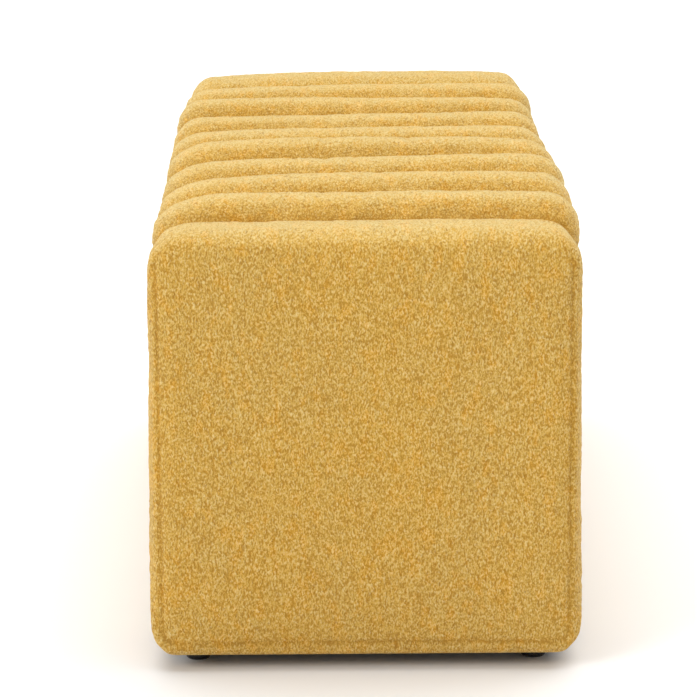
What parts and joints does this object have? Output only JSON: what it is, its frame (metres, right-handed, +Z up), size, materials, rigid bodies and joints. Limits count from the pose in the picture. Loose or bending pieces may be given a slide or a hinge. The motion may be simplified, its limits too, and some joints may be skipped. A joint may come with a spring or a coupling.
{
  "type": "storage ottoman",
  "caption": "Long channel-padded ottoman bench with a storage box under its hinged lid, fixed padded end slabs and small round feet.",
  "frame": {"origin": "on the floor, in the middle of the footprint", "axes": "+X along the length, +Y to the hinge side (the back), +Z up; the front is at -Y"},
  "size_m": [1.1, 0.442, 0.45],
  "materials": {
    "upholstery": "matt looped pile",
    "plywood": "raw",
    "pine": "raw",
    "lining_cloth": "matt nonwoven",
    "dust_cloth": "matt nonwoven",
    "foot_plastic": "gloss",
    "rubber": "matt",
    "zinc_steel": "zinc plated"
  },
  "bodies": {
    "box": {"back_channel_pad": "upholstery", "back_panel": "plywood", "corner_post_back_left": "pine", "corner_post_back_right": "pine", "corner_post_front_left": "pine", "corner_post_front_right": "pine", "dust_cover": "dust_cloth", "end_board_inner_left": "plywood", "end_board_inner_right": "plywood", "end_board_outer_left": "plywood", "end_board_outer_right": "plywood", "end_deck_left": "plywood", "end_deck_right": "plywood", "end_pad_left": "upholstery", "end_pad_right": "upholstery", "floor_cleat_back": "pine", "floor_cleat_front": "pine", "floor_panel": "plywood", "foot_back_left": "foot_plastic", "foot_back_right": "foot_plastic", "foot_front_left": "foot_plastic", "foot_front_right": "foot_plastic", "foot_screw_back_left": "zinc_steel", "foot_screw_back_right": "zinc_steel", "foot_screw_front_left": "zinc_steel", "foot_screw_front_right": "zinc_steel", "front_channel_pad": "upholstery", "front_panel": "plywood", "hinge_box_leaf_left": "zinc_steel", "hinge_box_leaf_right": "zinc_steel", "hinge_box_screw_left_a": "zinc_steel", "hinge_box_screw_left_b": "zinc_steel", "hinge_box_screw_right_a": "zinc_steel", "hinge_box_screw_right_b": "zinc_steel", "hinge_pin_left": "zinc_steel", "hinge_pin_right": "zinc_steel", "lid_bumper_left": "rubber", "lid_bumper_right": "rubber", "stay_stud_left": "zinc_steel", "stay_stud_right": "zinc_steel", "storage_lining": "lining_cloth"},
    "lid": {"lid_board": "plywood", "lid_channel_pad": "upholstery", "lid_lining": "lining_cloth", "hinge_lid_leaf_left": "zinc_steel", "hinge_lid_leaf_right": "zinc_steel", "hinge_lid_screw_left_a": "zinc_steel", "hinge_lid_screw_left_b": "zinc_steel", "hinge_lid_screw_right_a": "zinc_steel", "hinge_lid_screw_right_b": "zinc_steel", "stay_bracket_left": "zinc_steel", "stay_bracket_right": "zinc_steel", "stay_rivet_left": "zinc_steel", "stay_rivet_right": "zinc_steel"},
    "stay_arm_left": {"stay_arm_left": "zinc_steel"},
    "stay_arm_right": {"stay_arm_right": "zinc_steel"}
  },
  "joints": [
    {"name": "lid_hinge", "type": "hinge", "parent": "box", "child": "lid", "pos_m": [0, 0.2058, 0.385], "axis": [-1, 0, 0], "range_deg": [0, 80]},
    {"name": "stay_pivot_left", "type": "hinge", "parent": "lid", "child": "stay_arm_left", "pos_m": [-0.4365, 0.07661, 0.3705], "axis": [1, 0, 0], "range_deg": [0, 40]},
    {"name": "stay_pivot_right", "type": "hinge", "parent": "lid", "child": "stay_arm_right", "pos_m": [0.4365, 0.07661, 0.3705], "axis": [1, 0, 0], "range_deg": [0, 40]}
  ],
  "couplings": [
    {"joint": "stay_pivot_left", "follows": "lid_hinge", "ratio": 0.5},
    {"joint": "stay_pivot_right", "follows": "lid_hinge", "ratio": 0.5}
  ]
}
